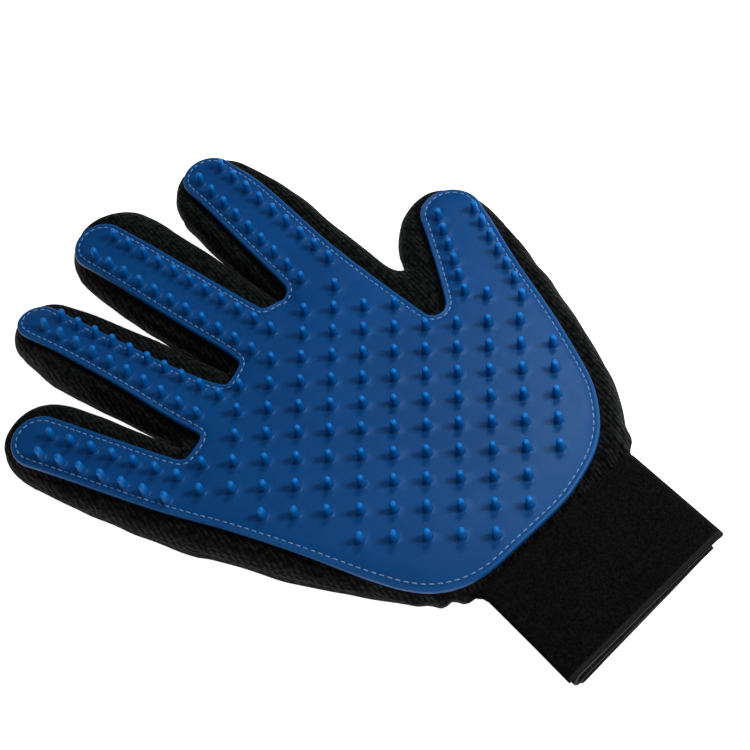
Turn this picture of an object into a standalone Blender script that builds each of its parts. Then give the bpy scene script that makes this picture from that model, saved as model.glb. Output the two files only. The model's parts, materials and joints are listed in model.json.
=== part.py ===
"""Right-hand pet grooming glove: nubbed silicone pads on a hollow five-finger fabric glove.

The glove lies on its back. +X is the thumb's side, +Y runs from the wrist to the fingertips and
+Z is the palm side, up. The origin is on the resting plane, under the middle of the cuff's mouth.
Every finger is a chain of short segments. Each segment has a silicone pad, a front fabric shell and
a back fabric shell, and hangs on an empty that sits on its knuckle's axis.
"""
import math
from collections import namedtuple

import bmesh
import bpy
from mathutils import Vector

MM = 0.001

# Heights above the resting plane, in millimetres
SEAM_Z = 9.0                # seam between the front and the back fabric
FABRIC_TOP = 18.0           # outside of the fabric under the pads
PAD_BOTTOM = 18.3
PAD_TOP = 20.0
NUB_HEIGHT = 5.0
HINGE_Z = PAD_TOP + 2.5     # the knuckle axes lie just above the pads

# Fabric
FABRIC = 1.4                # thickness of the padded fabric
EDGE_ROUND = 8.0            # how far in the rounded edge of a shell reaches
EDGE_STEPS = 3              # flats along a rounded edge
SEAM_GAP = 1.8              # leaves room for the slope of the shells' cut edges
PIECE_GAP = 0.3
KNUCKLE_GAP = 2.1           # room at a first knuckle, which also bends back
JOINT_GAP = 0.4             # room at the other knuckles
FABRIC_REACH = 3.0          # fabric beyond the end of a finger's pad
TIP_STATIONS = (0.0, 0.5, 0.8, 0.97)

# Silicone nubs
NUB_SIDES = 6
NUB_FOOT = 1.5
NUB_TIP = 0.95
NUB_ROOT = 0.5              # depth of a nub's foot inside its pad
GRID_ORIGIN = Vector((-1.0, 93.7))
GRID_ACROSS = Vector((13.56, 0.71))
GRID_UP = Vector((-0.73, 6.96))
GRID_REACH = 14             # rows and columns tried on each side of the origin
EDGE_CLEARANCE = 4.0        # from a palm nub to the pad's edge
NUB_CLEARANCE = 6.2         # from a palm nub to a finger nub
BARE_SPOTS = (Vector((-37.3, 49.8)), Vector((10.9, 45.3)), Vector((-14.4, 156.0)), Vector((14.2, 143.5)))

# Cuff and wrist strap
CUFF_HALF_WIDTH = 31.0
CUFF_LENGTH = 36.0
CUFF_HEIGHT = 12.0
CUFF_WALL = 1.6
LINING_WALL = 1.0
WRIST_Y = 40.0              # where the palm's fabric begins
WRIST_AXIS_Y = 38.0
WRIST_AXIS_Z = 19.0
STRAP_WIDTH = 34.0
STRAP_THICK = 1.5
STRAP_FREE_END = -30.0
STRAP_MARGIN_Y = 1.0
PATCH_THICK = 1.0
LOOP_PATCH_LENGTH = 34.0
HOOK_PATCH_LENGTH = 22.0
PATCH_WIDTH = 28.0
ANCHOR_BOTTOM = 2.0         # the strap's sewn end starts this low on the cuff's thumb side

# rows: nub rows on the palm and on each segment; the root is the middle of the first row
Finger = namedtuple("Finger", "root lean pitch rows pad_widths nub_gaps fabric_widths shift tip_reach")
FINGERS = {
    "index": Finger((6.5, 160.9), 0.0, 7.76, (1, 3, 3, 2), (21.0, 18.5), (12.0, 9.1), (30.5, 28.5), 2.4, 8.0),
    "middle": Finger((-24.8, 150.4), 12.0, 7.46, (2, 4, 3, 2), (18.5, 19.5), (9.2, 9.4), (28.5, 29.0), 3.0, 10.0),
    "ring": Finger((-52.1, 141.5), 16.2, 7.67, (2, 3, 3, 2), (18.0, 15.5), (10.1, 7.4), (26.0, 24.0), 1.8, 10.0),
    "little": Finger((-76.5, 125.1), 26.3, 7.91, (2, 2, 2, 1), (18.0, 17.0), (8.4, 7.4), (24.0, 22.5), 3.5, 10.5),
    "thumb": Finger((41.5, 113.0), -21.8, 6.77, (1, 3, 2), (27.0, 20.6), (16.0, 11.6), (34.0, 31.0), -1.5, 12.0),
}
SEGMENTS = {4: ("base", "middle", "tip"), 3: ("base", "tip")}

# Rounded bottoms of the slots between the fingers' pads: middle of the arc and its radius
PAD_SLOTS = {
    "thumb": ((25.0, 123.0), 4.0),
    "index": ((-9.6, 163.6), 4.6),
    "middle": ((-37.2, 151.0), 4.6),
    "ring": ((-63.0, 136.5), 4.2),
}
SLOT_STEPS = 5
PAD_WRIST_SIDE = ((-47, 51), (-44, 43.5), (-38, 40.4), (-21, 38.0), (-1, 38.6), (13, 41.5), (29, 49.5), (39, 60))
PAD_THUMB_SIDE = ((43, 71), (49, 91))
PAD_LITTLE_SIDE = ((-81, 117), (-71, 103), (-61, 83), (-51, 63))

# The palm fabric's outline between its open ends
FABRIC_THUMB_SIDE = ((38, 50), (46, 64), (51, 80), (55, 98))
FABRIC_LITTLE_SIDE = ((-84, 117), (-74, 100), (-64, 81), (-54, 60), (-44, 46))
CROTCHES = {
    "thumb": ((24.0, 121.0), (22.5, 142.0)),
    "index": ((-8.6, 156.0),),
    "middle": ((-39.2, 150.0),),
    "ring": ((-66.2, 137.0),),
}

SILICONE = ((0.010, 0.055, 0.235, 1.0), 0.42)
KNIT = ((0.012, 0.012, 0.014, 1.0), 0.85)
MESH_CLOTH = ((0.020, 0.020, 0.023, 1.0), 0.90)
LOOP_CLOTH = ((0.022, 0.023, 0.026, 1.0), 0.95)
HOOK_TAPE = ((0.015, 0.015, 0.016, 1.0), 0.60)


# ---- scene helpers ----

def clear_scene():
    for old in list(bpy.data.objects):
        bpy.data.objects.remove(old, do_unlink=True)


def new_collection(name):
    made = bpy.data.collections.new(name)
    bpy.context.scene.collection.children.link(made)
    return made


def give_material(piece, finish):
    colour, roughness = finish
    material = bpy.data.materials.new(piece.name + "_material")
    material.use_nodes = True
    shader = material.node_tree.nodes["Principled BSDF"]
    shader.inputs["Base Color"].default_value = colour
    shader.inputs["Roughness"].default_value = roughness
    shader.inputs["Metallic"].default_value = 0.0
    piece.data.materials.append(material)


def add_object(name, mesh, collection, parent=None):
    piece = bpy.data.objects.new(name, mesh)
    collection.objects.link(piece)
    piece.parent = parent
    return piece


def mesh_from_bmesh(name, shape):
    mesh = bpy.data.meshes.new(name)
    shape.to_mesh(mesh)
    shape.free()
    return mesh


def add_empty(name, location, turn, parent=None):
    empty = bpy.data.objects.new(name, None)
    glove.objects.link(empty)
    empty.parent = parent
    empty.location = Vector(location) * MM
    empty.rotation_euler = (0.0, 0.0, math.radians(turn))
    return empty


# ---- finger measures ----

def along(finger, distance, aside=0.0):
    """Point on the ground plan, a distance along the finger from its first nub row."""
    lean = math.radians(finger.lean)
    forward = Vector((-math.sin(lean), math.cos(lean)))
    right = Vector((math.cos(lean), math.sin(lean)))
    return Vector(finger.root) + forward * distance + right * aside


def last_row(finger):
    return (sum(finger.rows) - 1) * finger.pitch


def knuckles(finger):
    """Distances of the knuckle axes along the finger, midway between two nub rows."""
    ends = []
    count = 0
    for rows in finger.rows[:-1]:
        count += rows
        ends.append((count - 0.5) * finger.pitch)
    return ends


def between(pair, finger, distance):
    share = min(max(distance / last_row(finger), 0.0), 1.0)
    return pair[0] + (pair[1] - pair[0]) * share


def pad_half(finger, distance):
    return between(finger.pad_widths, finger, distance) / 2


def fabric_half(finger, distance):
    return between(finger.fabric_widths, finger, distance) / 2


def finger_nubs(finger, first, last):
    """Places of the two columns of nubs, for the rows from first up to last."""
    places = []
    for row in range(first, last):
        distance = row * finger.pitch
        half_gap = between(finger.nub_gaps, finger, distance) / 2
        places.append((distance, -half_gap))
        places.append((distance, half_gap))
    return places


# ---- fabric shells ----

def edge_profile(half_width, rise):
    """Half a cross-section: from the seam, round the edge, to the flat of the shell."""
    reach = min(EDGE_ROUND, 0.6 * half_width)
    profile = []
    for step in range(EDGE_STEPS + 1):
        angle = math.pi / 2 * step / EDGE_STEPS
        profile.append((half_width - reach * (1 - math.cos(angle)), rise * math.sin(angle)))
    return profile


def solidify(piece, thickness):
    modifier = piece.modifiers.new("thickness", "SOLIDIFY")
    modifier.thickness = thickness * MM
    modifier.offset = -1.0


def shell_of_stations(name, stations, side, floor_z, parent, finish):
    """Open half tube through stations of (distance, half width, rise), closed at a tip, then thickened."""
    shape = bmesh.new()
    rows = []
    for distance, half_width, rise, shift in stations:
        half = edge_profile(half_width, rise)
        section = [(x, z) for x, z in half] + [(-x, z) for x, z in reversed(half)]
        seam = SEAM_Z + side * SEAM_GAP / 2 - floor_z
        row = [shape.verts.new(Vector((x + shift, distance, seam + side * z)) * MM) for x, z in section]
        rows.append(row)
    for near, far in zip(rows, rows[1:]):
        for i in range(len(near) - 1):
            shape.faces.new((near[i], far[i], far[i + 1], near[i + 1])[::side])
    if stations[-1][1] < 0.5 * stations[0][1]:
        shape.faces.new(rows[-1][::-side])
    piece = add_object(name, mesh_from_bmesh(name, shape), glove, parent)
    solidify(piece, FABRIC)
    give_material(piece, finish)
    return piece


def finger_stations(finger, start, end, is_tip, side):
    """Stations of one segment, measured from its own knuckle."""
    rise = (FABRIC_TOP - SEAM_Z if side > 0 else SEAM_Z) - SEAM_GAP / 2
    gap = KNUCKLE_GAP if start == knuckles(finger)[0] else JOINT_GAP
    stations = [(gap, fabric_half(finger, start), rise, finger.shift)]
    if not is_tip:
        stations.append((end - start - JOINT_GAP, fabric_half(finger, end), rise, finger.shift))
        return stations
    half = fabric_half(finger, end)
    round_start = end - start - half
    for share in TIP_STATIONS:
        shrink = math.sqrt(1 - share * share)
        stations.append((round_start + half * share, half * shrink, rise * shrink ** 0.5, finger.shift))
    return stations


def inward_step(before, here, after, opens_before, opens_after):
    """Direction in which an outline's corner moves when the outline shrinks by one."""
    if opens_after:
        return (after - here).normalized()
    if opens_before:
        return (before - here).normalized()
    first = (here - before).normalized()
    second = (after - here).normalized()
    normal = Vector((-first.y - second.y, first.x + second.x)).normalized()
    return normal / max(0.6, normal.dot(Vector((-first.y, first.x))))


def palm_outline():
    """Corners of the palm's fabric, anticlockwise, each with True when the side after it is open."""
    outline = [(Vector((-CUFF_HALF_WIDTH, WRIST_Y)), True), (Vector((CUFF_HALF_WIDTH, WRIST_Y)), False)]
    outline += [(Vector(point), False) for point in FABRIC_THUMB_SIDE]
    for name in ("thumb", "index", "middle", "ring", "little"):
        finger = FINGERS[name]
        end = knuckles(finger)[0]
        half = fabric_half(finger, end)
        outline.append((along(finger, end - KNUCKLE_GAP, finger.shift + half), True))
        outline.append((along(finger, end - KNUCKLE_GAP, finger.shift - half), False))
        outline += [(Vector(point), False) for point in CROTCHES.get(name, ())]
    outline += [(Vector(point), False) for point in FABRIC_LITTLE_SIDE]
    return outline


def palm_shell(name, side, finish):
    """Front or back of the palm: rings that shrink as they rise, with open ends at the wrist and fingers."""
    outline = palm_outline()
    count = len(outline)
    rise = (FABRIC_TOP - SEAM_Z if side > 0 else SEAM_Z) - SEAM_GAP / 2
    shape = bmesh.new()
    rings = []
    for step in range(EDGE_STEPS + 1):
        angle = math.pi / 2 * step / EDGE_STEPS
        inset = EDGE_ROUND * (1 - math.cos(angle))
        z = SEAM_Z + side * (SEAM_GAP / 2 + rise * math.sin(angle))
        ring = []
        for i, (corner, opens) in enumerate(outline):
            before, opens_before = outline[i - 1]
            after = outline[(i + 1) % count][0]
            corner = corner + inset * inward_step(before, corner, after, opens_before, opens)
            ring.append(shape.verts.new(Vector((corner.x, corner.y, z)) * MM))
        rings.append(ring)
    for low, high in zip(rings, rings[1:]):
        for i, (_, opens) in enumerate(outline):
            if not opens:
                after = (i + 1) % count
                shape.faces.new((low[i], low[after], high[after], high[i])[::side])
    shape.faces.new(rings[-1][::side])
    piece = add_object(name, mesh_from_bmesh(name, shape), glove)
    solidify(piece, FABRIC)
    give_material(piece, finish)
    return piece


# ---- silicone pads ----

def plate(name, outline, bottom, thickness, floor_z, parent, finish):
    """Flat piece from a closed outline on the ground plan."""
    curve = bpy.data.curves.new(name, "CURVE")
    curve.dimensions = "2D"
    curve.fill_mode = "BOTH"
    curve.extrude = thickness / 2 * MM
    spline = curve.splines.new("POLY")
    spline.points.add(len(outline) - 1)
    for point, (x, y) in zip(spline.points, outline):
        point.co = (x * MM, y * MM, 0.0, 1.0)
    spline.use_cyclic_u = True
    drawn = add_object(name + "_outline", curve, glove)
    bpy.context.view_layer.update()
    evaluated = drawn.evaluated_get(bpy.context.evaluated_depsgraph_get())
    shape = bmesh.new()
    shape.from_mesh(bpy.data.meshes.new_from_object(evaluated))
    bpy.data.objects.remove(drawn)
    bmesh.ops.remove_doubles(shape, verts=shape.verts, dist=0.0001 * MM)
    bmesh.ops.translate(shape, verts=shape.verts, vec=(0, 0, (bottom + thickness / 2 - floor_z) * MM))
    bmesh.ops.recalc_face_normals(shape, faces=shape.faces)
    piece = add_object(name, mesh_from_bmesh(name, shape), glove, parent)
    give_material(piece, finish)
    return piece


def join_nubs(pad, places, floor_z):
    """Unite a pad with its tapered nubs."""
    shape = bmesh.new()
    foot_z = PAD_TOP - NUB_ROOT - floor_z
    depth = NUB_HEIGHT + NUB_ROOT
    for x, y in places:
        made = bmesh.ops.create_cone(
            shape, cap_ends=True, segments=NUB_SIDES,
            radius1=NUB_FOOT * MM, radius2=NUB_TIP * MM, depth=depth * MM)
        bmesh.ops.translate(shape, verts=made["verts"], vec=Vector((x, y, foot_z + depth / 2)) * MM)
    nubs = add_object(pad.name + "_nubs", mesh_from_bmesh(pad.name + "_nubs", shape), cutters, pad.parent)
    nubs.hide_render = True
    nubs.display_type = "WIRE"
    union = pad.modifiers.new("nubs", "BOOLEAN")
    union.operation = "UNION"
    union.object = nubs


def arc(centre, radius, start, end, steps):
    """Points of an arc, with the angles in degrees, anticlockwise when end is the larger one."""
    points = []
    for step in range(steps + 1):
        angle = math.radians(start + (end - start) * step / steps)
        points.append((centre[0] + radius * math.cos(angle), centre[1] + radius * math.sin(angle)))
    return points


def palm_pad_outline():
    outline = list(PAD_WRIST_SIDE) + list(PAD_THUMB_SIDE)
    for name in ("thumb", "index", "middle", "ring", "little"):
        finger = FINGERS[name]
        end = knuckles(finger)[0]
        outline.append(tuple(along(finger, end - PIECE_GAP, pad_half(finger, end))))
        outline.append(tuple(along(finger, end - PIECE_GAP, -pad_half(finger, end))))
        if name in PAD_SLOTS:
            centre, radius = PAD_SLOTS[name]
            lean = finger.lean
            outline += arc(centre, radius, lean, lean - 180, SLOT_STEPS)
    outline += list(PAD_LITTLE_SIDE)
    return outline


def is_inside(point, outline, margin):
    """True when a point is within a closed outline and farther than margin from its edge."""
    inside = False
    for (ax, ay), (bx, by) in zip(outline, outline[1:] + outline[:1]):
        if (ay > point.y) != (by > point.y) and point.x < ax + (point.y - ay) * (bx - ax) / (by - ay):
            inside = not inside
        side = Vector((bx - ax, by - ay))
        share = min(max((point - Vector((ax, ay))).dot(side) / side.length_squared, 0.0), 1.0)
        if (point - Vector((ax, ay)) - side * share).length < margin:
            return False
    return inside


def palm_nub_places(outline):
    """The first rows of the fingers, then a staggered grid over the rest of the palm."""
    places = []
    for finger in FINGERS.values():
        places += [along(finger, distance, aside) for distance, aside in finger_nubs(finger, 0, finger.rows[0])]
    fixed = list(places)
    for row in range(-GRID_REACH, GRID_REACH):
        for column in range(-GRID_REACH, GRID_REACH):
            spot = GRID_ORIGIN + GRID_UP * row + GRID_ACROSS * (column + 0.5 * (row % 2))
            clear = all((spot - other).length > NUB_CLEARANCE for other in fixed)
            clear = clear and all((spot - bare).length > 1.0 for bare in BARE_SPOTS)
            if clear and is_inside(spot, outline, EDGE_CLEARANCE):
                places.append(spot)
    return places


def segment_pad_outline(finger, start, end, is_tip):
    """Strip of one segment, measured from its own knuckle, with a round end on the last one."""
    near = pad_half(finger, start)
    if not is_tip:
        far = pad_half(finger, end)
        top = end - start - PIECE_GAP
        return [(near, PIECE_GAP), (far, top), (-far, top), (-near, PIECE_GAP)]
    far = pad_half(finger, end)
    outline = [(near, PIECE_GAP)]
    outline += arc((0.0, end - start - far), far, 0, 180, 2 * SLOT_STEPS)
    outline.append((-near, PIECE_GAP))
    return outline


# ---- assembly ----

def make_palm():
    palm_shell("palm_front_fabric", 1, KNIT)
    palm_shell("palm_back_fabric", -1, MESH_CLOTH)
    outline = palm_pad_outline()
    pad = plate("palm_pad", outline, PAD_BOTTOM, PAD_TOP - PAD_BOTTOM, 0.0, None, SILICONE)
    join_nubs(pad, palm_nub_places(outline), 0.0)


def make_finger(name):
    finger = FINGERS[name]
    starts = knuckles(finger)
    pad_end = last_row(finger) + finger.tip_reach
    row = finger.rows[0]
    parent = None
    for number, label in enumerate(SEGMENTS[len(finger.rows)]):
        start = starts[number]
        is_tip = number == len(starts) - 1
        if parent is None:
            spot = along(finger, start)
            joint = add_empty(name + "_base_joint", (spot.x, spot.y, HINGE_Z), finger.lean)
        else:
            joint = add_empty(name + "_" + label + "_joint", (0, start - starts[number - 1], 0), 0, parent)
        end = pad_end if is_tip else starts[number + 1]
        prefix = name + "_" + label
        pad_outline = segment_pad_outline(finger, start, end, is_tip)
        pad = plate(prefix + "_pad", pad_outline, PAD_BOTTOM, PAD_TOP - PAD_BOTTOM, HINGE_Z, joint, SILICONE)
        nubs = finger_nubs(finger, row, row + finger.rows[number + 1])
        join_nubs(pad, [(aside, distance - start) for distance, aside in nubs], HINGE_Z)
        fabric_end = end + FABRIC_REACH if is_tip else end
        for side, part, finish in ((1, "_front_fabric", KNIT), (-1, "_back_fabric", MESH_CLOTH)):
            stations = finger_stations(finger, start, fabric_end, is_tip, side)
            shell_of_stations(prefix + part, stations, side, HINGE_Z, joint, finish)
        row += finger.rows[number + 1]
        parent = joint


def tube(name, half_width, low, high, near, far, wall, floor_y, floor_z, parent, finish):
    """Flattened open sleeve along Y."""
    shape = bmesh.new()
    middle = (low + high) / 2
    rise = (high - low) / 2
    upper = edge_profile(half_width, rise)
    ring = upper + [(-x, z) for x, z in reversed(upper)]
    ring += [(x, -z) for x, z in ring[::-1] if abs(z) > 1e-6]
    rows = []
    for y in (near, far):
        rows.append([shape.verts.new(Vector((x, y - floor_y, middle + z - floor_z)) * MM) for x, z in ring])
    for i in range(len(ring)):
        after = (i + 1) % len(ring)
        shape.faces.new((rows[0][i], rows[1][i], rows[1][after], rows[0][after]))
    piece = add_object(name, mesh_from_bmesh(name, shape), glove, parent)
    solidify(piece, wall)
    give_material(piece, finish)
    return piece


def box_outline(left, right, near, far):
    return [(left, near), (right, near), (right, far), (left, far)]


def make_cuff():
    wrist = add_empty("wrist_joint", (0, WRIST_AXIS_Y, WRIST_AXIS_Z), 0)
    tube("cuff_band", CUFF_HALF_WIDTH, 0.0, CUFF_HEIGHT, 0.0, CUFF_LENGTH, CUFF_WALL,
         WRIST_AXIS_Y, WRIST_AXIS_Z, wrist, KNIT)
    inner = CUFF_WALL + PIECE_GAP
    tube("cuff_lining", CUFF_HALF_WIDTH - inner, inner, CUFF_HEIGHT - inner, 0.0, CUFF_LENGTH, LINING_WALL,
         WRIST_AXIS_Y, WRIST_AXIS_Z, wrist, MESH_CLOTH)
    make_strap(wrist)


def make_strap(wrist):
    """Strap that folds over the cuff from its thumb side and closes on a loop patch."""
    centre_y = STRAP_MARGIN_Y + STRAP_WIDTH / 2 - WRIST_AXIS_Y
    loop_bottom = CUFF_HEIGHT + PIECE_GAP
    loop_left = -CUFF_HALF_WIDTH + EDGE_ROUND
    loop = box_outline(loop_left, loop_left + LOOP_PATCH_LENGTH,
                       centre_y - PATCH_WIDTH / 2, centre_y + PATCH_WIDTH / 2)
    plate("cuff_loop_patch", loop, loop_bottom, PATCH_THICK, WRIST_AXIS_Z, wrist, LOOP_CLOTH)
    hook_bottom = loop_bottom + PATCH_THICK + PIECE_GAP
    strap_bottom = hook_bottom + PATCH_THICK + PIECE_GAP
    axis_x = CUFF_HALF_WIDTH + PIECE_GAP + STRAP_THICK / 2
    axis_z = strap_bottom + STRAP_THICK / 2
    sewn_end = box_outline(CUFF_HALF_WIDTH + PIECE_GAP, CUFF_HALF_WIDTH + PIECE_GAP + STRAP_THICK,
                           centre_y - STRAP_WIDTH / 2, centre_y + STRAP_WIDTH / 2)
    sewn_height = strap_bottom - PIECE_GAP - ANCHOR_BOTTOM
    plate("strap_sewn_end", sewn_end, ANCHOR_BOTTOM, sewn_height, WRIST_AXIS_Z, wrist, LOOP_CLOTH)
    joint = add_empty("wrist_strap_joint", (axis_x, centre_y, axis_z - WRIST_AXIS_Z), 0, wrist)
    flap = box_outline(STRAP_FREE_END - axis_x, 0.0, -STRAP_WIDTH / 2, STRAP_WIDTH / 2)
    plate("wrist_strap", flap, strap_bottom, STRAP_THICK, axis_z, joint, LOOP_CLOTH)
    hook_left = loop_left - axis_x + PIECE_GAP
    hook = box_outline(hook_left, hook_left + HOOK_PATCH_LENGTH, -PATCH_WIDTH / 2, PATCH_WIDTH / 2)
    plate("strap_hook_patch", hook, hook_bottom, PATCH_THICK, axis_z, joint, HOOK_TAPE)


clear_scene()
glove = new_collection("grooming_glove")
cutters = new_collection("cutters")
make_palm()
for finger_name in FINGERS:
    make_finger(finger_name)
make_cuff()
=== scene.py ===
"""Looks of the pet grooming glove: padded fabric, nubbed silicone face, stitching, cuff and strap.

Lengths are in millimetres until a mesh is made. The glove lies on its back: +X is the thumb's side,
+Y runs to the fingertips and +Z is the palm side. The palm and wrist are one padded solid with a smaller
one under it, every finger has its own closed sleeve, and the silicone is one moulded sheet. The meshes are
cut into pieces that follow the bodies of the frame.
"""
import json
import math
from functools import partial

import bmesh
import bpy
import numpy as np
from mathutils import Matrix, Vector, noise
from mathutils.geometry import delaunay_2d_cdt


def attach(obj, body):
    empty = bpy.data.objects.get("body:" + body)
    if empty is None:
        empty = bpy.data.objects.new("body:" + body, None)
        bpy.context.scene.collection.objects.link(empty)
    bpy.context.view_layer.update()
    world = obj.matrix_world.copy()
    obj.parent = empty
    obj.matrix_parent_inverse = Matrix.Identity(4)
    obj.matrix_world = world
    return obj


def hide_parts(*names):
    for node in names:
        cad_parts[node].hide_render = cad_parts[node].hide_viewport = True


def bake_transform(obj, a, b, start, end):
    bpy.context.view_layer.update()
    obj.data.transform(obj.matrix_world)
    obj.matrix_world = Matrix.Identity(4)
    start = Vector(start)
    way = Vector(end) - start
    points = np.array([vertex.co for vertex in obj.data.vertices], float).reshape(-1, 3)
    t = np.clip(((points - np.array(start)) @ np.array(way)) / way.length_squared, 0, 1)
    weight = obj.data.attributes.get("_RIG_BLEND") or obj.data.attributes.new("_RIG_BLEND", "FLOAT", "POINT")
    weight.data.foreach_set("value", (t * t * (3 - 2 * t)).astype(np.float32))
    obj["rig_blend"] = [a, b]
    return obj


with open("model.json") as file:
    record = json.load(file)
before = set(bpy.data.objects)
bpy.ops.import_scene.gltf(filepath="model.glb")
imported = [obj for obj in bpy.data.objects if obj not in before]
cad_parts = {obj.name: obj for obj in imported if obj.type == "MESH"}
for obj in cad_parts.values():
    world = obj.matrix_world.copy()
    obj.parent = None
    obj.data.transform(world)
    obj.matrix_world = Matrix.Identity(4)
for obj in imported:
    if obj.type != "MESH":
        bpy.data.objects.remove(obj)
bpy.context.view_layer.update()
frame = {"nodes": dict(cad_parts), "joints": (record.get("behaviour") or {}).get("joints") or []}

MM = 0.001

# Outline of the silicone face, besides the finger strips that follow the frame's knuckles
PAD_WRIST_SIDE = ((-50.5, 57), (-47.0, 51.0), (-42.2, 45.2), (-36.8, 41.2), (-30.6, 38.4), (-24, 37.1),
                  (-14, 37.7), (-2, 38.4), (6, 39.1), (13, 40.9), (22, 44.1), (29, 48.4), (35, 54.8),
                  (40.3, 63))
PAD_THUMB_SIDE = ((43.4, 71), (49.8, 91))
PAD_LITTLE_SIDE = ((-82, 117), (-73.6, 103), (-63.2, 83), (-53.8, 63))
# Ends of the slots between the fingers: the two corners, first on the side of the finger named. The
# thumb's slot ends in a round.
PAD_SLOTS = {
    "thumb": ((28.6, 119.9), (27.2, 118.2), (25.2, 117.3), (23.0, 117.6), (21.4, 118.9), (20.6, 121.2)),
    "index": ((-5.4, 161.4), (-15.6, 160.8)),
    "middle": ((-33.6, 149.6), (-43.0, 145.0)),
    "ring": ((-59.2, 135.2), (-69.2, 131.4)),
}
SLOT_CORNER = 1.4
# Finger strips of the face: distance past the first knuckle, reach to the left and right; then the
# distance that the strip's end runs beyond its nubbed segment
FACES = {
    "index": (((0, 10.9, 10.7), (20, 10.7, 10.9), (40, 10.3, 11.0), (50, 10.0, 10.2), (58, 10.2, 8.6)), 2.8),
    "middle": (((0, 8.4, 10.9), (25, 8.7, 10.7), (50, 8.4, 10.8), (64, 8.6, 10.4)), 3.3),
    "ring": (((0, 8.9, 8.0), (20, 8.0, 7.6), (40, 7.6, 7.2), (52, 7.7, 7.0), (60, 8.2, 6.6)), 4.4),
    "little": (((0, 9.0, 9.1), (20, 8.8, 9.3), (38, 8.8, 9.5)), 4.2),
    "thumb": (((0, 14.2, 13.0), (12, 12.8, 11.8), (24, 11.8, 11.0), (32, 11.2, 10.0)), 1.8),
}
OUTLINE_STEP = 1.5
PAD_LIFT = 1.6  # from the padding's top to the sheet's top
PAD_DROOP = 0.6  # share of the fabric's slope that the stiffer sheet follows
PAD_DROOP_MOST = 1.3
# Profile of the sheet's moulded edge: distance in from the edge, height over the sheet's face
PAD_RIM = ((0.5, -1.7), (0.1, -1.6), (0.0, -1.3), (0.0, -0.5), (0.12, -0.14), (0.38, 0.1),
           (0.75, 0.12), (1.1, 0.0), (1.5, -0.04), (1.9, -0.18), (2.3, -0.04))
STITCH_INSET = 1.9
STITCH_PITCH = 2.5
STITCH_LENGTH = 1.7
STITCH_RADIUS = 0.21
FACE_STEP = 2.6  # spacing of the sheet's inner points
MERGE = 1e-5  # places closer than this are one
FACE_CLEARANCE = 1.2  # the inner points keep this far from the sheet's edge
FOOT_CLEARANCE = 0.9  # and this far from a nub's foot

# Nub profile: radius and height over the sheet, foot to tip
NUB_PROFILE = ((1.95, 0.0), (1.62, 0.12), (1.4, 0.45), (1.26, 1.6), (1.18, 2.9), (1.12, 4.0),
               (1.0, 4.5), (0.72, 4.85), (0.36, 4.98))
NUB_TOP = 5.02
# Finger nubs sit a little off the frame's even rows: left and right along the finger, left and right aside
NUB_SHIFTS = {
    "index": (0.0, 0.0, 0.0, 0.0),
    "middle": (-0.2, -0.4, 0.65, 1.05),
    "ring": (1.4, -0.3, 1.2, 0.3),
    "little": (0.5, 0.7, -0.9, -0.95),
    "thumb": (1.6, -0.3, 0.5, 1.05),
}
NUB_SHIFT_REACH = (-12.5, 9.0)  # from this far before the first knuckle, and this far aside
RING_ROLL = 0.2  # slope across the ring finger, which lies rolled towards the thumb's side
NUB_SIDES = 10

# The palm fabric's outline; the fingers' sleeves are added to it
PALM_FABRIC = ((-24, 22), (27, 22), (30, 36), (33.8, 39), (39, 48), (42.8, 54), (46.6, 60), (50.6, 68),
               (54.3, 80), (57.6, 91), (60.9, 103), (63.5, 114), (46, 128), (32, 143), (28.5, 144),
               (24.6, 153), (8, 158), (-8, 158), (-24, 156), (-38.8, 152), (-54, 146), (-66, 139.5),
               (-78, 136), (-92.5, 129), (-88.5, 114.6), (-78.4, 99), (-68, 80.5), (-58.6, 66),
               (-50.5, 54.5), (-46, 48.5), (-39, 41), (-29.5, 35))
# Sleeves: distance past the first knuckle, reach to the left and to the right of the pad's middle line; then
# the distance that the sleeve's end runs beyond the nubbed segment
SLEEVES = {
    "index": (((-20, 15.0, 21.0), (-8, 14.8, 20.6), (10, 15.4, 19.8), (30, 17.0, 19.4), (44, 17.6, 17.8),
               (56, 17.2, 15.0), (70, 14.4, 12.2)), 6.6),
    "middle": (((-20, 12.0, 18.6), (0, 12.6, 19.2), (20, 13.4, 21.0), (36, 13.6, 22.2), (60, 12.2, 23.0),
                (75, 10.6, 22.4)), 8.6),
    "ring": (((-20, 13.0, 16.2), (0, 13.2, 16.4), (20, 13.7, 16.3), (40, 14.8, 15.0), (52, 14.8, 13.8),
              (64, 12.6, 12.2)), 7.8),
    "little": (((-20, 14.6, 16.6), (0, 14.4, 16.4), (12, 13.8, 16.8), (28, 12.8, 18.4), (40, 11.4, 18.6),
                (50, 10.0, 17.2)), 10.8),
    "thumb": (((-20, 17.0, 22.0), (0, 20.0, 20.4), (14, 22.0, 18.3), (28, 21.4, 15.2), (40, 19.2, 12.4),
               (50, 16.6, 9.6)), 7.4),
}
SLEEVE_START = -25.0
FREE_SIDE = {"thumb": 1, "little": -1}  # the side with no neighbour, along the knuckle's axis
WALL_UNDER_PALM = 8.0  # how far a sleeve's side walls run on under the palm's fabric
WALL_DEPTH = 5.0  # a sleeve's outermost part, which counts as its side wall
WEB_MARGIN = 0.1  # the palm's outline reaches this far past a sleeve where the web starts
HIDDEN_MARGIN = 0.6  # and the whole outline this far past a side wall that is hidden
INNER_SHRINK = 1.8
INNER_START_Y = 62.0  # the layer under the palm's fabric starts here
PADDING_HEIGHT = 17.4
CROTCH_BLEND = 1.4
GRID = 1.4  # cell of the fabric's surface mesh
GRID_LOW = (-115.0, 24.0, -2.1)
GRID_HIGH = (73.0, 253.0, 22.0)
SMOOTH_ROUNDS = 4
EDGE_ROUND_TOP = 8.0
EDGE_ROUND_BACK = 10.0
SEAM_HEIGHT = 8.5  # front cloth above, back cloth below
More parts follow.
